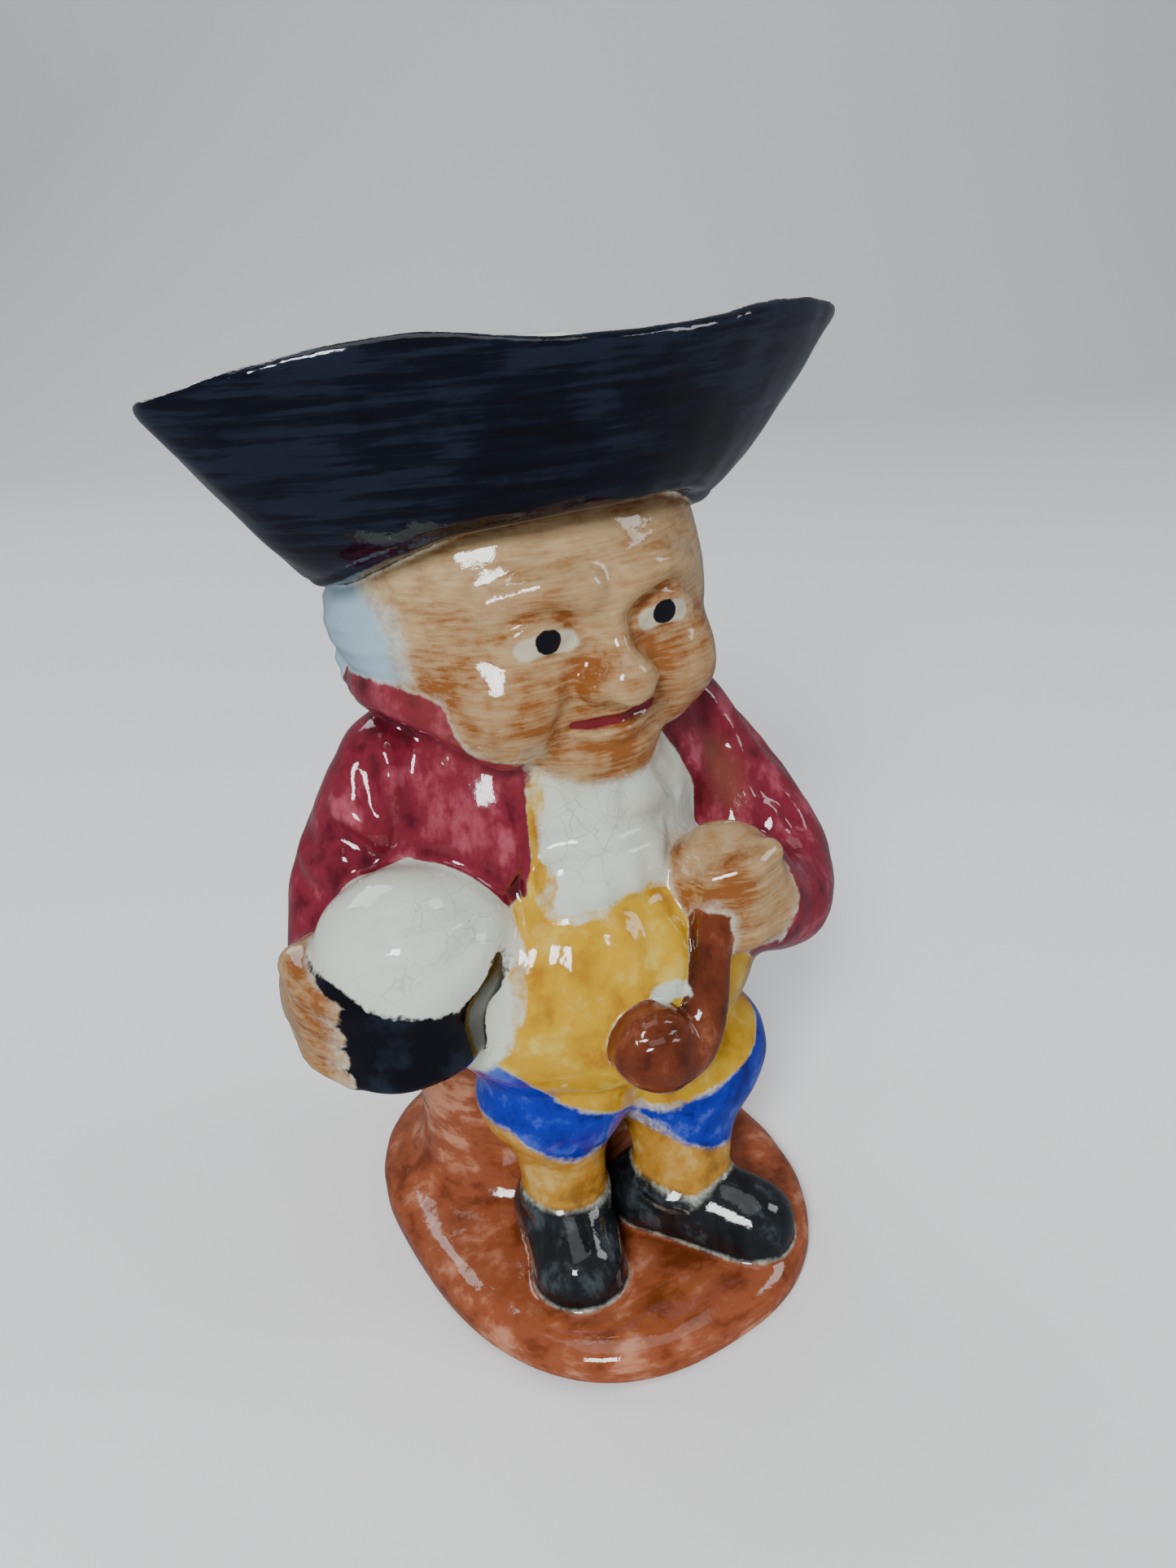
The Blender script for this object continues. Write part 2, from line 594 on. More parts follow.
def hat_plan(x, y):
    """The hat's sizes in the direction of x, y: band, reach of the brim, foot and rim heights."""
    angle = np.degrees(np.arctan2(x, -(y - HAT["y"])))
    s, c = np.sin(np.radians(angle)), np.cos(np.radians(angle))
    corner = bump(angle, BRIM["corner"], 30, 1.5) + bump(angle, -BRIM["corner"], 30, 1.5)
    back = bump(angle, 180, 36, 1.7)
    band = 1 / np.hypot(s / HAT["band_x"], c / HAT["band_y"])
    reach = BRIM["reach"] + BRIM["side"] * corner + BRIM["back"] * back
    foot = HAT["foot"] + (HAT["brow"] - HAT["foot"]) * smooth(c, -0.2, 1)
    sway = 2.1 * bump(angle, -44, 20) + 0.8 * bump(angle, 44, 18)
    rim = BRIM["height"] + 4.2 * smooth(c, -0.1, 0.6) + sway + 0.9 * back
    return band, reach, foot, rim


def hat_side(x, y, z, inset=None):
    """Distance from the flared side of the hat. inset gives shares of its height and insets."""
    band, reach, foot, rim = hat_plan(x, y)
    share = (z - foot) / (rim - foot)
    up = np.clip(share, 0, 1.25)
    radius = band + (reach - band) * (up + TINY) ** BRIM["curve"]
    slope = (reach - band) / (rim - foot) * np.where(share > 0, 1, 0)
    if inset:
        radius = radius - np.interp(share, *inset)
    return (np.hypot(x, y - HAT["y"]) - radius) / np.sqrt(1 + slope ** 2)


def hat():
    def distance(x, y, z):
        _, _, foot, rim = hat_plan(x, y)
        side = hat_side(x, y, z)
        return shared(shared(side, z - rim - 0.4, 2.6), foot - 1.2 - z, 2.2)

    model(Form(distance, (-53, -44, 118), (53, 44, 154)), 0.7, "ink")


hat()

# --- Handle and hollow -----------------------------------------------------------------------
# A loop handle from the back corner of the hat to the coat tails, rolled by hand and stuck on
# with slip. The jug is hollow: drained casting leaves walls about 4 mm thick all through.

HANDLE = [
    (0, 31, 139.5, 5.4), (0, 42, 137, 4.6), (0, 49.5, 128, 4.2), (0, 52, 113, 4.1),
    (0, 50, 97, 4.1), (0, 43, 82, 4.2), (0, 33, 71, 4.8), (0, 22, 64, 6),
]
hollow = []


def handle():
    loop = flowing(HANDLE, 5)
    model(limb(loop[:, :3], loop[:, 3], wide=1.15), 3.0, "red")
    model(egg((0, 49.6, 130.4), (4.8, 4.2, 3.2), lean=40), 2.0, "red")


def inside():
    insets = ((0, 0.14, 0.4, 1), (2.1 * WALL, 1.65 * WALL, 1.3 * WALL, 0.9 * WALL))

    def funnel(x, y, z):
        _, _, foot, _ = hat_plan(x, y)
        return shared(hat_side(x, y, z, insets), foot - 9 - z, 2)

    hollow.append((Form(funnel, (-53, -44, 110), (53, 44, 160)), 0, False))
    hollow.append((egg((0.9, 0, 113), (25.2, 19.8, 12.4)), 3, False))
    walls = [(z, y, rx - WALL - 0.6, ry - WALL - 0.6) for z, y, rx, ry in COAT]
    walls[0] = (56.5,) + walls[0][1:]
    hollow.append((column(walls, edge=5), 5, False))
    hollow.append((egg(BELLY["at"], np.array(BELLY["radii"]) - WALL - 1), 4, False))
    well = [(8, 9, 15.2, 10), (13, 9, 18.6, 13.4), (38, 9, 19.2, 14), (62, 9, 19.2, 14)]
    hollow.append((column(well, edge=4), 4, False))


handle()
inside()

# --- The cast jug ----------------------------------------------------------------------------
# All the modelling above comes out of one plaster mould as one hollow casting, fettled with a
# wet sponge, so that every edge is soft. The mesh is that casting.

CELL = 0.62
LOW = np.array([-54.0, -50.0, -2.0])
HIGH = np.array([54.0, 60.0, 156.0])
MOST_TRIANGLES = 192000


class Block:
    """A regular block of points, as a place where the casting is measured."""

    def __init__(self, low, high, cell):
        self.low, self.cell = low, cell
        self.shape = tuple(np.ceil((high - low) / cell).astype(int) + 1)
        self.ticks = [np.float32(low[i] + cell * np.arange(self.shape[i])) for i in range(3)]

    def near(self, form, margin):
        key = []
        for i in range(3):
            first = np.searchsorted(self.ticks[i], form.low[i] - margin)
            last = np.searchsorted(self.ticks[i], form.high[i] + margin)
            key.append(slice(first, last))
        ticks = [tick[part] for tick, part in zip(self.ticks, key)]
        return tuple(key), np.meshgrid(*ticks, indexing="ij", sparse=True)


def skin(block, field):
    """Points and four-sided faces where the field passes through zero."""
    solid = field < 0
    corners = [(i, j, k) for i in (0, 1) for j in (0, 1) for k in (0, 1)]

    def corner(values, offset):
        return values[tuple(slice(o, n - 1 + o) for o, n in zip(offset, values.shape))]

    count = sum(corner(solid, offset).astype(np.int8) for offset in corners)
    mixed = (count > 0) & (count < 8)
    cells = np.argwhere(mixed)
    number = np.full(mixed.shape, -1, np.int64)
    number[mixed] = np.arange(len(cells))
    depth = {offset: corner(field, offset)[mixed] for offset in corners}
    points = np.zeros((len(cells), 3))
    crossings = np.zeros(len(cells))
    for offset in corners:
        for axis in range(3):
            if offset[axis]:
                continue
            other = tuple(1 if i == axis else o for i, o in enumerate(offset))
            a, b = depth[offset], depth[other]
            crossed = (a < 0) != (b < 0)
            share = np.where(crossed, a / np.where(crossed, a - b, 1), 0)
            points += np.where(crossed[:, None], np.array(offset), 0)
            points[:, axis] += share
            crossings += crossed
    points = block.low + block.cell * (cells + points / crossings[:, None])
    faces = []
    for axis in range(3):
        one, two = [i for i in range(3) if i != axis]
        here = [slice(1, -1)] * 3
        there = [slice(1, -1)] * 3
        here[axis], there[axis] = slice(0, -1), slice(1, None)
        edges = np.argwhere(solid[tuple(here)] != solid[tuple(there)])
        within = solid[tuple(here)][tuple(edges.T)]
        edges = edges + np.array([i != axis for i in range(3)])

        def cell_at(step_one, step_two):
            cell = edges.copy()
            cell[:, one] -= step_one
            cell[:, two] -= step_two
            return number[tuple(cell.T)]

        ring = np.stack([cell_at(1, 1), cell_at(0, 1), cell_at(0, 0), cell_at(1, 0)], 1)
        backwards = within if axis == 1 else ~within
        ring[backwards] = ring[backwards][:, ::-1]
        faces.append(ring)
    return points, np.concatenate(faces)


def jug_field(place):
    """The whole jug: the figure less its hollow, with a round rim where they meet."""
    return shared(measured(place, casting), -measured(place, hollow, 12), 2.4)


def settled(points, rounds=2):
    """The points moved on to the surface, and the directions out of it."""
    for _ in range(rounds):
        depth, way = outward(points, lambda spots: jug_field(Spots(spots)), 0.2)
        points = points - way * np.clip(depth, -0.3, 0.3)[:, None]
    return points, way


def handmade(points):
    """The gentle unevenness of a hand-finished surface, in millimetres."""
    waves = [((0.42, 0.18, -0.31), 0.4), ((-0.2, 0.47, 0.26), 1.9), ((0.31, -0.29, 0.5), 3.1),
             ((0.74, 0.33, 0.15), 5.0), ((-0.38, 0.69, -0.52), 2.2), ((0.12, 0.55, 0.81), 4.4)]
    total = 0
    for way, phase in waves:
        total = total + np.sin(points @ np.array(way) + phase) / (1 + np.linalg.norm(way))
    return 0.07 * total


def cast():
    block = Block(LOW, HIGH, CELL)
    points, faces = skin(block, jug_field(block))
    mesh = bpy.data.meshes.new("jug")
    mesh.from_pydata(points.tolist(), [], faces.tolist())
    piece = bpy.data.objects.new("toby_jug", mesh)
    bpy.context.scene.collection.objects.link(piece)
    thin = piece.modifiers.new("thin", "DECIMATE")
    thin.ratio = min(1, MOST_TRIANGLES / (2 * len(faces)))
    graph = bpy.context.evaluated_depsgraph_get()
    final = bpy.data.meshes.new_from_object(piece.evaluated_get(graph))
    piece.modifiers.clear()
    piece.data = final
    bpy.data.meshes.remove(mesh)
    final.name = "toby_jug"
    return piece


jug = cast()
skin_points = np.empty(3 * len(jug.data.vertices))
jug.data.vertices.foreach_get("co", skin_points)
skin_points, skin_ways = settled(skin_points.reshape(-1, 3))
skin_points += skin_ways * (handmade(skin_points) * smooth(skin_points[:, 2], 0.5, 4))[:, None]
skin_points[:, 2] = np.maximum(skin_points[:, 2], 0)
skin_points[skin_points[:, 2] < 0.05, 2] = 0
jug.data.vertices.foreach_set("co", (skin_points * 0.001).ravel())
jug.data.update()
jug.data.shade_smooth()

# --- Painting --------------------------------------------------------------------------------
# The colours are brushed on the fired body by hand, one after the other, up to where each form
# ends, and the whole jug is dipped in clear glaze. The glaze runs thin over ridges and pools in
# hollows, and in time it crazes on the bare cream.

AREAS = ["brown", "mustard", "blue", "yellow", "red", "face", "hands", "hair", "cloth", "froth",
         "black", "ink", "mug", "rust"]


def store(name, values):
    layer = jug.data.attributes.new(name, "FLOAT", "POINT")
    layer.data.foreach_set("value", np.asarray(values, np.float32))


def divide(reach, one, other, line):
    """Share what two colours cover between them at a line: one keeps the side where it is below 0."""
    both = np.minimum(reach[one], reach[other])
    reach[one] = np.maximum(both, line)
    reach[other] = np.maximum(both, -line)


def paint_reach():
    """How far each point lies outside the area of each colour, in millimetres."""
    x, y, z = skin_points.T
    reach = {}
    for area in AREAS:
        reach[area] = np.min([form.distance(x, y, z) for form in painted[area]], axis=0)
    # the waistcoat stops short of the froth and the coat, and frames the neckcloth
    cloth_side = np.interp(z, (74, 84, 91, 97), (-12.4, -10.2, -9.6, -9.4)) - x
    cloth_foot = np.interp(x, (-12.8, -6, -2, 3, 8, 11), (74.4, 73.2, 75.2, 74.4, 73, 66)) - z
    cloth = np.maximum(cloth_side, cloth_foot)
    bare = np.interp(z, (46, 56, 67, 79, 91.5, 98), (-25.5, -22.3, -19.5, -15.8, -13.4, -12.6)) - x
    divide(reach, "yellow", "cloth", np.maximum(bare, -cloth))
    # the mug is black up to a line that dips in front, and ends in a point beside the waistcoat
    brim = np.interp(x, (-44, -42, -39, -34.4, -29.5, -25.5, -22.5), (73.5, 72, 70, 67.7, 67, 69.5, 73))
    divide(reach, "mug", "froth", np.maximum(z - brim, x + 20.4))
    # the face ends at the hair
    away = np.abs(x - HEAD["at"][0]) - np.interp(z, (102, 106, 109, 114, 119, 126), (30, 26, 24.6, 25.4, 25.8, 27.4))
    divide(reach, "face", "hair", np.maximum(away, y + 4))
    # the cuff ends raggedly at the sleeve
    wrist = x - np.interp(z, (59, 63, 65.4, 68.2, 75.4, 79.5), (20.3, 20.5, 22, 24.3, 22.5, 20.4))
    sleeve = (wrist > 0) & (y < -18) & (z < 82) & (z > 56)
    reach["red"] = np.where(sleeve, np.minimum(reach["red"], reach["hands"]), reach["red"] - 0.5)
    reach["hands"] = np.where(sleeve, np.maximum(reach["hands"], wrist), reach["hands"])
    # the breeches start below the waistcoat and end above the knee
    waist = np.interp(x, (-24, -20.5, -13.3, -7.6, 2, 7.4, 15, 21, 27), (53.3, 49.8, 41.2, 37.8, 33, 34.8, 36.8, 38.4, 43))
    divide(reach, "blue", "yellow", np.where(y < -12, z - waist, -FAR))
    knee = np.interp(x, (-21, -19.7, -16.6, -12.3, -5, -2, 1.4, 5.3, 9.4, 15, 21, 27),
                     (37, 34, 31.4, 29.3, 30.6, 32, 29.5, 26, 23.6, 22, 22.6, 25))
    divide(reach, "blue", "mustard", knee - z)
    return reach


reach = paint_reach()
for area in AREAS:
    others = np.min([reach[other] for other in AREAS if other != area], axis=0)
    store(area, np.clip(0.5 * (others - reach[area]), -6, 6))
within = measured(Spots(skin_points), hollow, 12)
store("inside", np.clip(1.7 - within, -6, 6))


def spread(spots):
    """Soft patches, each x, y, z, radius and strength."""
    total = 0
    for x, y, z, radius, strength in spots:
        away = np.linalg.norm(skin_points - np.array([x, y, z]), axis=1)
        total = total + strength * np.exp(-(away / radius) ** 2)
    return total


FLUSH = [
    (14, -21, 103, 8, 0.55), (-12, -21, 103, 8, 0.7), (1, -28, 107, 5, 0.4), (6.5, -25, 110, 4, 0.35),
    (-4.5, -25, 110, 4, 0.5), (1, -24, 94, 7, 0.45), (1, -26, 97.4, 3, 0.4), (20, -14, 110, 8, 0.4),
    (-18, -14, 110, 8, 0.5), (9, -23, 119.5, 5, 0.4), (-7, -23, 119.5, 5, 0.4), (12, -35, 74, 6, 0.9),
    (9, -32, 69, 5, 0.6), (-44, -12, 73, 4, 0.8), (-45, -17, 69, 4, 0.9), (-45, -17, 63, 5, 0.7),
    (24.5, -16, 86, 2.6, 1.0), (25.6, -17, 82, 2.6, 1.0), (25.6, -18, 78, 2.6, 0.8),
]
store("flush", spread(FLUSH))


def stroke(points, radius):
    """How far inside a stroke of the brush on the front each point is. It is seen along y."""
    points = flowing([(x, 0, z) for x, z in points], 6)
    x, _, z = skin_points.T
    inside = -limb(points, radius).distance(x, 0 * x, z)
    return np.clip(np.where(skin_points[:, 1] < -12, inside, -4), -4, 4)


mouth = stroke([(-5.4, 101.1), (-2.4, 100.7), (1, 100.9), (4.4, 100.7), (7.4, 101.1)], 0.75)
store("lips", mouth)
eyes = [1 + side * EYE["x"] for side in (-1, 1)]
store("whites", np.max([stroke([(x - 3, EYE["z"] - 0.3), (x, EYE["z"]), (x + 3, EYE["z"] - 0.3)], 1.5)
                        for x in eyes], axis=0))
dots = [stroke([(x - 0.2, EYE["z"] + 0.2), (x + 0.2, EYE["z"] + 0.2)], 1.75) for x in eyes]
store("dots", np.max(dots + [stroke([(21, 53.6), (21.2, 53.4)], 0.6)], axis=0))

before = jug_field(Spots(skin_points + skin_ways * 1.6))
behind = jug_field(Spots(skin_points - skin_ways * 2.0))
store("pooled", np.clip(1 - before / 1.6, 0, 1))
store("worn", np.clip(1 + behind / 2.0, 0, 1))


def group(name, inputs, outputs):
    """A shader node group with named sockets. Returns it with its input and output nodes."""
    tree = bpy.data.node_groups.new(name, "ShaderNodeTree")
    for title, kind, value in inputs:
        socket = tree.interface.new_socket(title, in_out="INPUT", socket_type="NodeSocket" + kind)
        if value is not None:
            socket.default_value = value
    for title, kind in outputs:
        tree.interface.new_socket(title, in_out="OUTPUT", socket_type="NodeSocket" + kind)
    return tree, tree.nodes.new("NodeGroupInput"), tree.nodes.new("NodeGroupOutput")


def put(tree, kind, label="", **settings):
    """A node with its settings. A name that is one of its sockets gets a value or a link."""
    node = tree.nodes.new("ShaderNode" + kind)
    node.label = label
    for key, value in settings.items():
        sockets = [s for s in node.inputs if s.enabled and s.name.lower().replace(" ", "_") == key]
        if not sockets and hasattr(node, key):
            setattr(node, key, value)
            continue
        if not sockets:
            sockets = [node.inputs[int(key[1:])]]
        if isinstance(value, bpy.types.NodeSocket):
            tree.links.new(value, sockets[0])
        else:
            sockets[0].default_value = value
    return node


def maths(tree, operation, *values):
    node = tree.nodes.new("ShaderNodeMath")
    node.operation = operation
    for socket, value in zip(node.inputs, values):
        if isinstance(value, bpy.types.NodeSocket):
            tree.links.new(value, socket)
        else:
            socket.default_value = value
    return node.outputs[0]


def blend(tree, share, a, b, mode="MIX"):
    """One colour laid over another by a share."""
    node = tree.nodes.new("ShaderNodeMix")
    node.data_type = "RGBA"
    node.blend_type = mode
    for index, value in ((0, share), (6, a), (7, b)):
        if isinstance(value, bpy.types.NodeSocket):
            tree.links.new(value, node.inputs[index])
        else:
            node.inputs[index].default_value = value
    return node.outputs[2]


def ranged(tree, value, low, high, smooth_step=True):
    node = tree.nodes.new("ShaderNodeMapRange")
    node.interpolation_type = "SMOOTHSTEP" if smooth_step else "LINEAR"
    tree.links.new(value, node.inputs["Value"])
    for name, bound in (("From Min", low), ("From Max", high)):
        if isinstance(bound, bpy.types.NodeSocket):
            tree.links.new(bound, node.inputs[name])
        else:
            node.inputs[name].default_value = bound
    return node.outputs["Result"]


def noise(tree, where, scale, detail=3.0, rough=0.55):
    node = put(tree, "TexNoise", vector=where, scale=scale, detail=detail, roughness=rough)
    return node.outputs["Factor"] if "Factor" in node.outputs else node.outputs["Fac"]


def brushed_group():
    """Under-glaze colour: cloudy where it was laid wet, streaky along the stroke, paler over
    ridges and deeper in hollows."""
    tree, given, result = group("Brushed colour", [
        ("Thin", "Color", None), ("Full", "Color", None), ("Deep", "Color", None),
        ("Stroke", "Vector", (1, 1, 1)), ("Cloud size", "Float", 6.0), ("Streaks", "Float", 0.5),
        ("Pooled", "Float", 0.0), ("Worn", "Float", 0.0)], [("Colour", "Color")])
    where = put(tree, "TexCoord").outputs["Object"]
    cloud_scale = maths(tree, "DIVIDE", 1000.0, given.outputs["Cloud size"])
    cloud = ranged(tree, noise(tree, where, cloud_scale, 4.0, 0.6), 0.32, 0.68)
    stretched = put(tree, "VectorMath", operation="MULTIPLY", i0=where, i1=given.outputs["Stroke"])
    streak = ranged(tree, noise(tree, stretched.outputs[0], 1.0, 5.0, 0.62), 0.35, 0.66)
    strength = maths(tree, "MULTIPLY", maths(tree, "SUBTRACT", streak, 0.5), given.outputs["Streaks"])
    depth = maths(tree, "ADD", cloud, strength)
    depth = maths(tree, "ADD", depth, maths(tree, "MULTIPLY", given.outputs["Pooled"], 0.9))
    depth = maths(tree, "SUBTRACT", depth, maths(tree, "MULTIPLY", given.outputs["Worn"], 1.1))
    thin = ranged(tree, depth, -0.45, 0.45)
    deep = ranged(tree, depth, 0.45, 1.35)
    colour = blend(tree, thin, given.outputs["Thin"], given.outputs["Full"])
    colour = blend(tree, deep, colour, given.outputs["Deep"])
    tree.links.new(colour, result.inputs["Colour"])
    return tree


def edge_group():
    """The ragged edge of a hand-painted area. Distance is how far inside it a point is."""
    tree, given, result = group("Painted edge", [
        ("Distance", "Float", 0.0), ("Ragged", "Float", 0.5), ("Soft", "Float", 0.15),
        ("Overlap", "Float", 0.0)], [("Mask", "Float")])
    where = put(tree, "TexCoord").outputs["Object"]
    coarse = maths(tree, "SUBTRACT", noise(tree, where, 260.0, 2.0), 0.5)
    fine = maths(tree, "SUBTRACT", noise(tree, where, 1500.0, 2.0), 0.5)
    shake = maths(tree, "ADD", maths(tree, "MULTIPLY", coarse, 1.6), maths(tree, "MULTIPLY", fine, 0.8))
    shake = maths(tree, "MULTIPLY", shake, given.outputs["Ragged"])
    place = maths(tree, "ADD", maths(tree, "ADD", given.outputs["Distance"], given.outputs["Overlap"]), shake)
    less = maths(tree, "MULTIPLY", given.outputs["Soft"], -1.0)
    tree.links.new(ranged(tree, place, less, given.outputs["Soft"]), result.inputs["Mask"])
    return tree


def crazing_group():
    """The fine net of cracks in old glaze, and the specks of iron in the body."""
    tree, given, result = group("Crazing and specks", [
        ("Net size", "Float", 3.0), ("Line", "Float", 0.02)], [("Lines", "Float"), ("Specks", "Float")])
    where = put(tree, "TexCoord").outputs["Object"]
    bend = put(tree, "TexNoise", vector=where, scale=300.0, detail=2.0)
    shift = put(tree, "VectorMath", operation="SCALE", i0=bend.outputs["Color"], scale=0.0012)
    bent = put(tree, "VectorMath", operation="ADD", i0=where, i1=shift.outputs[0]).outputs[0]
    scale = maths(tree, "DIVIDE", 1000.0, given.outputs["Net size"])
    net = put(tree, "TexVoronoi", feature="DISTANCE_TO_EDGE", vector=bent, scale=scale)
    line = ranged(tree, net.outputs["Distance"], given.outputs["Line"], 0.0)
    patch = ranged(tree, noise(tree, where, 70.0, 2.0), 0.42, 0.62)
    tree.links.new(maths(tree, "MULTIPLY", line, patch), result.inputs["Lines"])
    dust = put(tree, "TexVoronoi", vector=where, scale=330.0)
    size = put(tree, "SeparateColor", color=dust.outputs["Color"])
    radius = ranged(tree, size.outputs[0], 0.55, 1.0, False)
    spot = maths(tree, "LESS_THAN", dust.outputs["Distance"], maths(tree, "MULTIPLY", radius, 0.065))
    tree.links.new(spot, result.inputs["Specks"])
    return tree


BRUSHED = brushed_group()
EDGE = edge_group()
CRAZING = crazing_group()

# thin, full and deep tone of each colour, the stroke, cloud size, streaks and edge
PAINTS = {
    "brown": [(0.50, 0.21, 0.12), (0.26, 0.068, 0.026), (0.13, 0.028, 0.008), (90, 160, 420), 9, 0.7, 0.5, 0.3],
    "mustard": [(0.56, 0.38, 0.12), (0.42, 0.20, 0.025), (0.20, 0.09, 0.015), (200, 200, 120), 5, 0.4, 0.3, 0.2],
    "blue": [(0.06, 0.11, 0.48), (0.006, 0.018, 0.32), (0.003, 0.007, 0.12), (160, 160, 90), 5, 0.6, 0.5, 0.35],
    "yellow": [(0.62, 0.45, 0.08), (0.52, 0.29, 0.014), (0.34, 0.14, 0.010), (160, 160, 90), 6, 0.4, 0.25, 0.15],
    "red": [(0.36, 0.070, 0.10), (0.175, 0.014, 0.028), (0.070, 0.005, 0.012), (260, 200, 90), 8, 0.6, 0.3, 0.15],
    "black": [(0.050, 0.062, 0.070), (0.010, 0.012, 0.014), (0.003, 0.004, 0.005), (300, 200, 90), 5, 0.7, 0.5, 0.5],
    "ink": [(0.007, 0.010, 0.021), (0.0012, 0.002, 0.007), (0.0005, 0.0006, 0.002), (60, 90, 900), 12, 1.2, 0.3, 0.15],
    "mug": [(0.010, 0.014, 0.026), (0.0012, 0.0014, 0.004), (0.0005, 0.0006, 0.002), (200, 200, 90), 9, 0.4, 0.4, 0.12],
    "rust": [(0.26, 0.085, 0.042), (0.12, 0.026, 0.009), (0.05, 0.010, 0.004), (200, 200, 90), 7, 0.5, 0.25, 0.12],
}
CREAM = (0.58, 0.64, 0.56)


def glazed_earthenware():
    material = bpy.data.materials.new("glazed_earthenware")
    material.use_nodes = True
    tree = material.node_tree
    tree.nodes.clear()
    shader = tree.nodes.new("ShaderNodeBsdfPrincipled")
    output = tree.nodes.new("ShaderNodeOutputMaterial")
    tree.links.new(shader.outputs[0], output.inputs["Surface"])
    where = put(tree, "TexCoord").outputs["Object"]

    def stored(name):
        return put(tree, "Attribute", name, attribute_name=name).outputs["Fac"]

    def use(made, **values):
        node = tree.nodes.new("ShaderNodeGroup")
        node.node_tree = made
        for key, value in values.items():
            socket = node.inputs[key.replace("_", " ")]
            if isinstance(value, bpy.types.NodeSocket):
                tree.links.new(value, socket)
            else:
                socket.default_value = value
        return node

    pooled, worn = stored("pooled"), stored("worn")
    warm = ranged(tree, noise(tree, where, 60.0, 3.0), 0.35, 0.7)
    body = blend(tree, warm, (*CREAM, 1), (0.57, 0.57, 0.45, 1))
    body = blend(tree, maths(tree, "MULTIPLY", pooled, 0.3), body, (0.36, 0.33, 0.24, 1))
    net = use(CRAZING, Net_size=3.2, Line=0.035)
    body = blend(tree, maths(tree, "MULTIPLY", net.outputs["Lines"], 0.45), body, (0.26, 0.26, 0.20, 1))
    body = blend(tree, maths(tree, "MULTIPLY", net.outputs["Specks"], 0.75), body, (0.06, 0.055, 0.045, 1))

    # hair: the bare body with a cold tint
    hair_mask = use(EDGE, Distance=stored("hair"), Ragged=0.5, Soft=0.6)
    grey = blend(tree, 0.8, body, (0.24, 0.39, 0.52, 1))
    colour = blend(tree, hair_mask.outputs[0], body, grey)

    # flesh: a thin brown scrubbed over the cream with a dry brush
    flush = stored("flush")
    stretched = put(tree, "VectorMath", operation="MULTIPLY", i0=where, i1=(150, 300, 1400)).outputs[0]
    strokes = ranged(tree, noise(tree, stretched, 1.0, 6.0, 0.65), 0.3, 0.7)
    mottle = ranged(tree, noise(tree, where, 150.0, 6.0, 0.65), 0.3, 0.7)
    scrub = maths(tree, "ADD", maths(tree, "MULTIPLY", flush, 0.85), maths(tree, "MULTIPLY", pooled, 0.8))
    scrub = maths(tree, "ADD", scrub, 0.5)
    scrub = maths(tree, "MULTIPLY", scrub, maths(tree, "ADD", maths(tree, "MULTIPLY", strokes, 0.5), 0.6))
    scrub = maths(tree, "MULTIPLY", scrub, maths(tree, "ADD", maths(tree, "MULTIPLY", mottle, 0.6), 0.65))
    scrub = maths(tree, "MINIMUM", maths(tree, "SUBTRACT", scrub, maths(tree, "MULTIPLY", worn, 0.4)), 1.0)
    flesh = blend(tree, scrub, (0.52, 0.38, 0.20, 1), (0.22, 0.075, 0.018, 1))
    for name in ("face", "hands"):
        mask = use(EDGE, Distance=stored(name), Ragged=0.8, Soft=0.7)
        colour = blend(tree, mask.outputs[0], colour, flesh)

    for name, (thin, full, deep, stroke, cloud, streaks, ragged, soft) in PAINTS.items():
        coat_of_paint = use(BRUSHED, Thin=(*thin, 1), Full=(*full, 1), Deep=(*deep, 1), Stroke=stroke,
                            Cloud_size=cloud, Streaks=streaks, Pooled=pooled, Worn=worn)
        paint = coat_of_paint.outputs[0]
        if name == "red":
            paint = blend(tree, maths(tree, "MULTIPLY", flush, 0.55), paint, (0.20, 0.075, 0.035, 1))
        mask = use(EDGE, Distance=stored(name), Ragged=ragged, Soft=soft)
        colour = blend(tree, mask.outputs[0], colour, paint)

    inside_mask = use(EDGE, Distance=stored("inside"), Ragged=0.8, Soft=0.15)
    colour = blend(tree, inside_mask.outputs[0], colour, body)
    for name, tone, soft in (("lips", (0.15, 0.014, 0.020), 0.15), ("whites", (0.48, 0.43, 0.31), 0.3),
                             ("dots", (0.004, 0.004, 0.006), 0.1)):
        mask = use(EDGE, Distance=stored(name), Ragged=0.35, Soft=soft)
        colour = blend(tree, mask.outputs[0], colour, (*tone, 1))
    tree.links.new(colour, shader.inputs["Base Color"])

    smear = ranged(tree, noise(tree, where, 90.0, 3.0), 0.3, 0.7)
    gloss = maths(tree, "ADD", maths(tree, "MULTIPLY", smear, 0.05), 0.05)
    tree.links.new(gloss, shader.inputs["Roughness"])
    shader.inputs["IOR"].default_value = 1.5
    shader.inputs["Specular IOR Level"].default_value = 0.5
    ripple = maths(tree, "ADD", noise(tree, where, 260.0, 2.0),
                   maths(tree, "MULTIPLY", noise(tree, where, 1100.0, 2.0), 0.18))
    ripple = maths(tree, "SUBTRACT", ripple, maths(tree, "MULTIPLY", net.outputs["Lines"], 0.03))
    relief = put(tree, "Bump", strength=0.35, distance=0.0003, height=ripple)
    tree.links.new(relief.outputs[0], shader.inputs["Normal"])
    return material


jug.data.materials.clear()
jug.data.materials.append(glazed_earthenware())
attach(jug, "root")
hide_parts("jug")

# --- Studio ----------------------------------------------------------------------------------
# Not part of the jug: a pale sweep of paper, soft light from two tall windows, and the camera.

FOCUS = (9.9, 0.0, 78.9)
VIEW = dict(turn=-30.0, height=25.0, roll=-4.8, distance=195.0)
LENS = 27.09


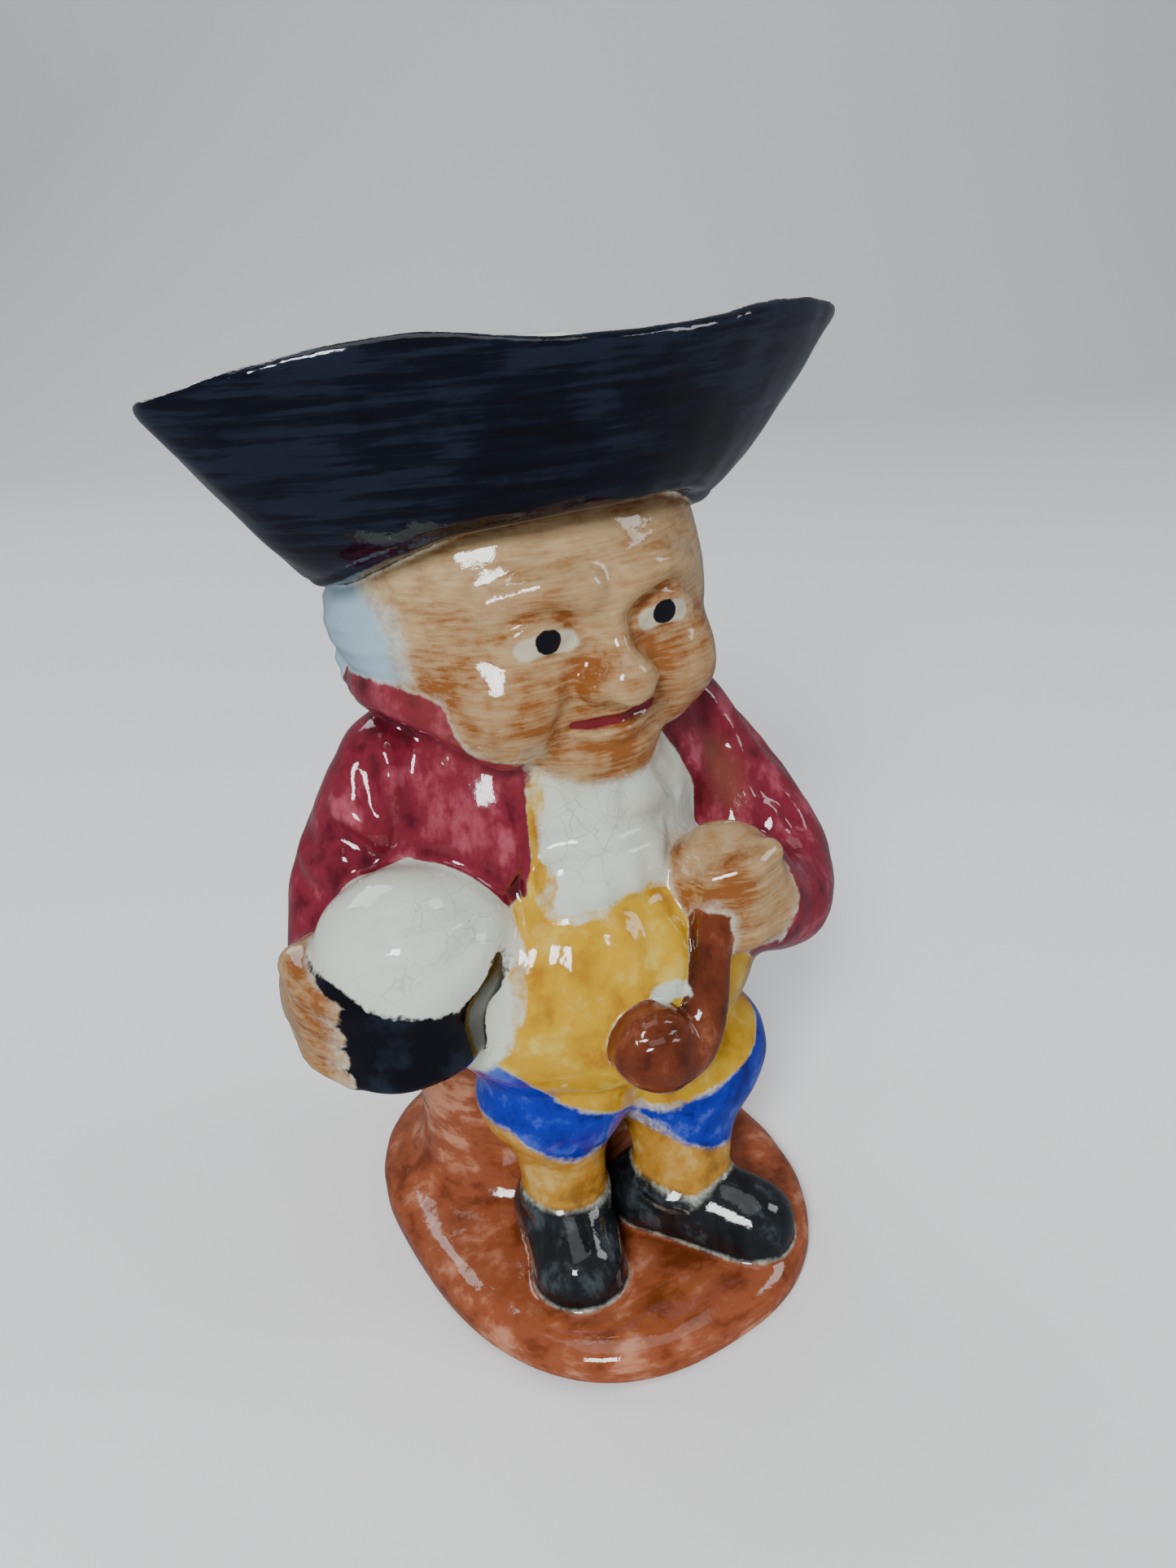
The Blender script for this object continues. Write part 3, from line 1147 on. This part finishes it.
def paper_sweep():
    profile = [(-2.0, 0.0)]
    radius, reach = 0.5, 0.9
    profile += [(reach + radius * math.sin(a), radius - radius * math.cos(a))
                for a in np.linspace(0, math.pi / 2, 24)]
    profile.append((reach + radius, 3.0))
    points = []
    for depth, height in profile:
        points += [(-3.0, depth, height), (3.0, depth, height)]
    faces = [(2 * i, 2 * i + 1, 2 * i + 3, 2 * i + 2) for i in range(len(profile) - 1)]
    mesh = bpy.data.meshes.new("paper_sweep")
    mesh.from_pydata(points, [], faces)
    mesh.shade_smooth()
    sweep = bpy.data.objects.new("paper_sweep", mesh)
    sweep.rotation_euler.z = math.radians(VIEW["turn"])
    bpy.context.scene.collection.objects.link(sweep)
    paper = bpy.data.materials.new("pale_paper")
    paper.use_nodes = True
    shader = paper.node_tree.nodes["Principled BSDF"]
    shader.inputs["Base Color"].default_value = (0.85, 0.85, 0.85, 1)
    shader.inputs["Roughness"].default_value = 0.9
    mesh.materials.append(paper)
    sweep.visible_glossy = False    # dark cards keep the paper out of the glaze


def camera():
    turn, height, roll = (math.radians(VIEW[k]) for k in ("turn", "height", "roll"))
    back = np.array([math.sin(turn) * math.cos(height), -math.cos(turn) * math.cos(height), math.sin(height)])
    right = np.array([math.cos(turn), math.sin(turn), 0])
    up = np.cross(back, right)
    across = right * math.cos(roll) + up * math.sin(roll)
    above = up * math.cos(roll) - right * math.sin(roll)
    data = bpy.data.cameras.new("camera")
    data.sensor_width = 36
    data.lens = LENS
    data.clip_start = 0.01
    lens = bpy.data.objects.new("camera", data)
    place = (np.array(FOCUS) + VIEW["distance"] * back) * 0.001
    lens.matrix_world = Matrix.Translation(place.tolist()) @ Matrix(
        np.column_stack([across, above, back]).tolist()).to_4x4()
    bpy.context.scene.collection.objects.link(lens)
    bpy.context.scene.camera = lens


def window(name, place, aim, size, power, colour):
    data = bpy.data.lights.new(name, "AREA")
    data.shape = "RECTANGLE"
    data.size, data.size_y = size
    data.energy = power
    data.color = colour
    light = bpy.data.objects.new(name, data)
    way = np.array(place) - np.array(aim)
    back = way / np.linalg.norm(way)
    right = np.cross((0, 0, 1), back)
    right /= np.linalg.norm(right)
    up = np.cross(back, right)
    light.matrix_world = Matrix.Translation(place) @ Matrix(np.column_stack([right, up, back]).tolist()).to_4x4()
    bpy.context.scene.collection.objects.link(light)


paper_sweep()
camera()
AIM = (0, 0, 0.08)
for name, turn, height, distance, size, power in (
        ("window_left", -47, 36, 1.0, (0.13, 0.34), 5.5), ("window_right", -38, 36, 1.0, (0.13, 0.34), 5.5),
        ("far_window", 60, 32, 1.2, (0.3, 0.5), 3.0), ("back_window", 190, 40, 1.2, (0.5, 0.5), 4.0),
        ("sky_light", 0, 88, 1.4, (1.2, 1.2), 6.0)):
    turn, height = math.radians(turn), math.radians(height)
    way = np.array([math.sin(turn) * math.cos(height), -math.cos(turn) * math.cos(height), math.sin(height)])
    window(name, np.array(AIM) + distance * way, AIM, size, power, (0.96, 0.985, 1.0))
world = bpy.data.worlds.new("pale_room")
world.use_nodes = True
world.node_tree.nodes["Background"].inputs["Color"].default_value = (0.85, 0.90, 1.0, 1)
world.node_tree.nodes["Background"].inputs["Strength"].default_value = 0.2
bpy.context.scene.world = world

bpy.context.view_layer.update()
